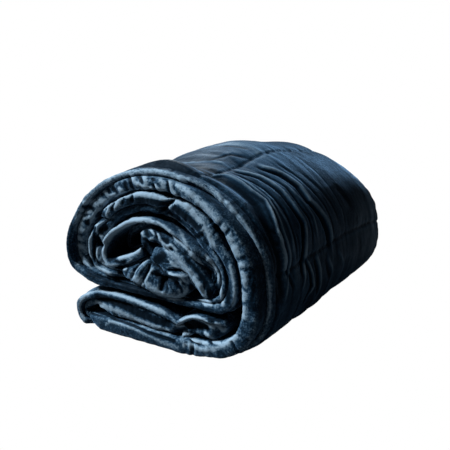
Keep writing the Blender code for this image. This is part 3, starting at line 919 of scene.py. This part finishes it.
def fold_piece(name, bends, reach, seed, material):
    """A single fold of cloth, a little puffed, that reaches back into the roll."""
    columns = {c: [getattr(bend, c) for bend in bends] for c in bends[0]._fields[2:]}
    route = Route([(bend.x, bend.z) for bend in bends], columns)
    half = route.thick * route.full / 2
    rounding = np.minimum(0.7 * half, CORE_EDGE)
    first, last = route.back + CORE_EDGE, reach - FAR_ROUNDING
    straight = [first + (last - first) * step**1.6 for step in np.linspace(0, 1, 30)]
    sides = [(1, along) for along in straight]
    for angle in half_circle(8)[::-1]:
        sides.append((math.sin(angle), last + FAR_ROUNDING * math.cos(angle) + 0 * half))
    sides += [(-1, along) for along in straight[::-1]]
    for angle in half_circle(24):
        front = route.back + rounding * (1 - flattened(math.cos(angle)))
        sides.append((flattened(math.sin(angle)), front))
    offsets = np.stack([share * half for share, _ in sides], axis=-1)
    alongs = np.stack([along for _, along in sides], axis=-1)
    points = place_points(route, offsets, alongs)
    run = route.run[:, None] + 0 * alongs
    depth = alongs - route.back[:, None]
    across = offsets + depth * np.sign(offsets)
    # The gathers on its two sides differ.
    height = route.ruffle[:, None] * gathers(run + 300 * (offsets > 0), depth, HEM_PUFF, seed)
    height += route.crumple[:, None] * crumples(run, across, CORE_PITCH, seed + 5)
    height *= fading(depth, *CORE_FADE) * route.full[:, None]
    points += grid_normals(points) * height[..., None]
    # Painted highlight and painted shade from the strokes and the bends.
    shade = press_creases(points, (), FACE_FADE) + painted_bend_light(points)
    return mesh_object(name, points, shade, material)


def bundle_piece(name, seed, material):
    """The crumpled bundle of cloth in the core, with a domed front."""
    count = len(BUNDLE)
    curve, places = smooth_route([*BUNDLE, *BUNDLE, *BUNDLE])
    around = np.linspace(count, 2 * count, 220, endpoint=False)
    outline = np.stack([np.interp(around, places, curve[:, axis]) for axis in (0, 1)], axis=-1)
    middle = np.array(BUNDLE_MIDDLE, float)
    # A ring is the outline drawn in to a share of its size, at a distance behind the bundle's front.
    front = [(r, BUNDLE_DOME * (1 - math.sqrt(1 - 0.985 * r**5))) for r in np.linspace(0.02, 1, 52)]
    start = front[-1][1]
    last = BUNDLE_REACH - BUNDLE_END
    sides = [(1.0, start + (last - start) * step**1.5) for step in np.linspace(0.02, 1, 34)]
    ends = [(math.cos(t), last + BUNDLE_END * math.sin(t)) for t in np.linspace(0.2, 1.5, 8)]
    rings = np.array([*front, *sides, *ends])
    flat = middle + (outline[None] - middle) * rings[:, 0, None, None]
    # Behind its front the bundle is squeezed a little flatter.
    settle = 0.12 * ease((rings[:, 1, None] - 10) / 50)
    flat[..., 1] += settle * (BUNDLE_SETTLES_TO - flat[..., 1])
    along = BUNDLE_BACK + rings[:, 1, None] + 0 * flat[..., 0]
    points = np.stack([flat[..., 0], FRONT + along, flat[..., 1]], axis=-1)
    x, z = flat[..., 0], flat[..., 1] - along
    height = 0.6 * Noise(seed)(x / 24, z / 24) + 0.25 * crumples(x, z, CORE_PITCH, seed + 5)
    height *= 1 - 0.7 * ease((along - 40) / 60)
    points += grid_normals(points) * height[..., None]
    # Painted highlight and painted shade from the creases, the strokes and the bends.
    shade = press_creases(points, BUNDLE_CREASES, BUNDLE_FADE) + painted_bend_light(points)
    return mesh_object(name, points, shade, material)


# ---- material

def new_material(name):
    """A material, its node tree and its shader."""
    material = bpy.data.materials.new(name)
    material.use_nodes = True
    return material, material.node_tree, material.node_tree.nodes["Principled BSDF"]


def add_node(tree, kind, output, settings):
    """Adds a node, sets each named input or links it to another node's output, and returns its output."""
    node = tree.nodes.new("ShaderNode" + kind)
    for name, value in settings.items():
        if isinstance(value, bpy.types.NodeSocket):
            tree.links.new(value, node.inputs[name])
        else:
            node.inputs[name].default_value = value
    return node.outputs[output]


# The pile is crushed up to the first of these distances from the open end, and from the second this share of
# it is brushed into streaks.
CRUSHED_UNTIL = 28.0
STREAKED_FROM = 70.0
STREAKED_SHARE = 0.8

# The velvet's colour by its tone: its own dark blue in the middle, painted shade at the darkest stop and
# painted highlight at the two palest.
VELVET_AND_PAINTED_LIGHT_COLOURS = (
    (0.24, (0.0004, 0.002, 0.0042)),
    (0.385, (0.003, 0.0095, 0.018)),
    (0.5, (0.011, 0.028, 0.05)),
    (0.62, (0.055, 0.086, 0.116)),
    (0.82, (0.158, 0.207, 0.253)),
)


def velvet():
    """Dark blue crushed velvet with a mottled tone of its own, darkened by painted shade and lightened by
    painted highlight from its point attribute.
    """
    material, tree, shader = new_material("velvet")
    shader.inputs["Metallic"].default_value = 0.0
    shader.inputs["Specular IOR Level"].default_value = 0.05
    shader.inputs["Specular Tint"].default_value = (0.35, 0.65, 1.0, 1.0)
    shader.inputs["Sheen Weight"].default_value = 0.24
    shader.inputs["Sheen Roughness"].default_value = 0.3
    shader.inputs["Sheen Tint"].default_value = (0.34, 0.6, 0.95, 1.0)

    def noise(vector, scale, detail, roughness, distortion=0.0):
        settings = {"Scale": scale, "Detail": detail, "Roughness": roughness, "Distortion": distortion}
        return add_node(tree, "TexNoise", "Fac", {"Vector": vector, **settings})

    def bump(height, strength, distance, **before):
        settings = {"Height": height, "Strength": strength, "Distance": distance, **before}
        return add_node(tree, "Bump", "Normal", settings)

    def mixed(factor, first, second):
        return add_node(tree, "Mix", "Result", {"Factor": factor, "A": first, "B": second})

    def multiply_add(value, factor, added):
        total = add_node(tree, "Math", "Value", {0: value, 1: factor, 2: added})
        total.node.operation = "MULTIPLY_ADD"
        return total

    def ramp(value, stops, socket):
        colour = add_node(tree, "ValToRGB", "Color", {"Fac": value})
        elements = colour.node.color_ramp.elements
        for position, _ in stops[:-2]:
            elements.new(position)
        for element, (position, shade) in zip(elements, stops):
            element.position = position
            element.color = (*shade, 1.0)
        tree.links.new(colour, shader.inputs[socket])

    # The streaks run round the roll. Near the open end the pile is crushed and feathered.
    place = add_node(tree, "TexCoord", "Object", {})
    stretched = add_node(tree, "Mapping", "Vector", {"Vector": place, "Scale": (0.22, 1.0, 0.22)})
    away = add_node(tree, "SeparateXYZ", "Y", {"Vector": place})
    reach = {"From Min": (FRONT + CRUSHED_UNTIL) * MM, "From Max": (FRONT + STREAKED_FROM) * MM}
    outside = add_node(tree, "MapRange", "Result", {"Value": away, **reach, "To Max": STREAKED_SHARE})
    pile = mixed(outside, noise(place, 85.0, 6.0, 0.68, 0.8), noise(stretched, 75.0, 4.0, 0.6))
    feathered = mixed(outside, noise(place, 400.0, 4.0, 0.7, 0.6), 0.5)
    wrinkled = bump(noise(place, 150.0, 5.0, 0.64, 0.6), 0.5, 0.0022)
    napped = bump(noise(place, 1300.0, 2.0, 0.6), 0.4, 0.0005, Normal=wrinkled)
    tree.links.new(napped, shader.inputs["Normal"])
    # Painted light: the point attribute's painted shade and painted highlight set the colour, with the random
    # tone added.
    painted_light_value = add_node(tree, "Attribute", "Fac", {})
    painted_light_value.node.attribute_name = "pile"
    tone = multiply_add(painted_light_value, 1.0, -0.75)
    tone = multiply_add(feathered, 1.0, tone)
    tone = multiply_add(pile, 0.5, tone)
    ramp(tone, VELVET_AND_PAINTED_LIGHT_COLOURS, "Base Color")
    ramp(pile, ((0.38, (0.75,) * 3), (0.62, (0.5,) * 3)), "Roughness")
    return material


# ---- floor, light, camera

def add_seen_mix(tree, lighting, seen, output):
    """The camera sees one shader, while light falls as the other one gives it."""
    by_camera = add_node(tree, "LightPath", "Is Camera Ray", {})
    mixed = add_node(tree, "MixShader", "Shader", {"Fac": by_camera, 1: lighting, 2: seen})
    tree.links.new(mixed, output.inputs["Surface"])


# The floor reaches this far each way, in metres, and lies a little below the blanket.
FLOOR_REACH = 12.0
FLOOR_DROP = 0.0004


def make_floor():
    """A floor that looks as white as the backdrop, with no shadow on it."""
    corners = [(x * FLOOR_REACH, y * FLOOR_REACH, 0) for x, y in ((-1, -1), (1, -1), (1, 1), (-1, 1))]
    mesh = bpy.data.meshes.new("floor")
    mesh.from_pydata(corners, [], [(0, 1, 2, 3)])
    material, tree, shader = new_material("white_floor")
    shader.inputs["Base Color"].default_value = (0.1, 0.1, 0.1, 1.0)
    shader.inputs["Roughness"].default_value = 0.9
    white = add_node(tree, "Emission", "Emission", {})
    add_seen_mix(tree, shader.outputs["BSDF"], white, tree.nodes["Material Output"])
    mesh.materials.append(material)
    floor = bpy.data.objects.new("floor", mesh)
    floor.location.z = -FLOOR_DROP
    bpy.context.scene.collection.objects.link(floor)


LIGHT_COLOUR = (0.8, 0.92, 1.0)


def add_light(name, kind, energy, location, target):
    """A bluish light that shines from a place at a target, both in metres."""
    light = bpy.data.lights.new(name, kind)
    light.color = LIGHT_COLOUR
    light.energy = energy
    lamp = bpy.data.objects.new(name, light)
    lamp.location = location
    lamp.rotation_euler = (Vector(target) - Vector(location)).to_track_quat("-Z", "Y").to_euler()
    bpy.context.scene.collection.objects.link(lamp)
    return light


def make_lights():
    """A strong key light from the left, one over the top from behind, and a faint light all round."""
    key = add_light("key", "SUN", 11.0, (-1.2, -0.6, 1.4), (0, 0, 0.1))
    key.angle = math.radians(14)
    top = add_light("top", "AREA", 12.0, (-0.6, 0.6, 0.85), (-0.05, 0.0, 0.2))
    top.shape = "DISK"
    top.size = 0.4
    world = bpy.data.worlds.new("studio")
    bpy.context.scene.world = world
    world.use_nodes = True
    tree = world.node_tree
    around = tree.nodes["Background"]
    around.inputs["Color"].default_value = (0.8, 0.9, 1.0, 1.0)
    around.inputs["Strength"].default_value = 0.075
    white = add_node(tree, "Background", "Background", {"Color": (1.0, 1.0, 1.0, 1.0)})
    add_seen_mix(tree, around.outputs["Background"], white, tree.nodes["World Output"])


# The camera stands to the right of the open end: its turn and its tilt down, in degrees, and its lens.
CAMERA_AZIMUTH = 32.17
CAMERA_PITCH = 16.07
CAMERA_LENS = 52.2


def make_camera():
    """The camera as it stood for the photo."""
    data = bpy.data.cameras.new("camera")
    data.lens = CAMERA_LENS
    data.clip_start = 0.01
    data.clip_end = 50.0
    camera = bpy.data.objects.new("camera", data)
    camera.location = CAMERA_PLACE
    camera.rotation_euler = (math.radians(90 - CAMERA_PITCH), 0.0, math.radians(CAMERA_AZIMUTH))
    bpy.context.scene.collection.objects.link(camera)
    bpy.context.scene.camera = camera


make_camera()
make_floor()
make_lights()
bpy.context.scene.view_settings.view_transform = "Standard"

cloth = velvet()
whole = route_along_legs()
dense = (whole.start_of[DENSE_FROM], whole.start_of[DENSE_UNTIL] + PAST_CORNER)
pieces = (
    rolled_piece("blanket_tail", whole, (0, dense[0]), SPARSE_STEPS, True, cloth),
    rolled_piece("blanket_outside", whole, dense, DENSE_STEPS, True, cloth),
    rolled_piece("blanket_inside", whole, (dense[1], whole.length), SPARSE_STEPS, False, cloth),
    fold_piece("core_fold", SLANTING_FOLD, reach=400, seed=60, material=cloth),
    bundle_piece("core_bundle", seed=70, material=cloth),
)
for piece in pieces:
    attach(piece, "root")
    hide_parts("blanket")
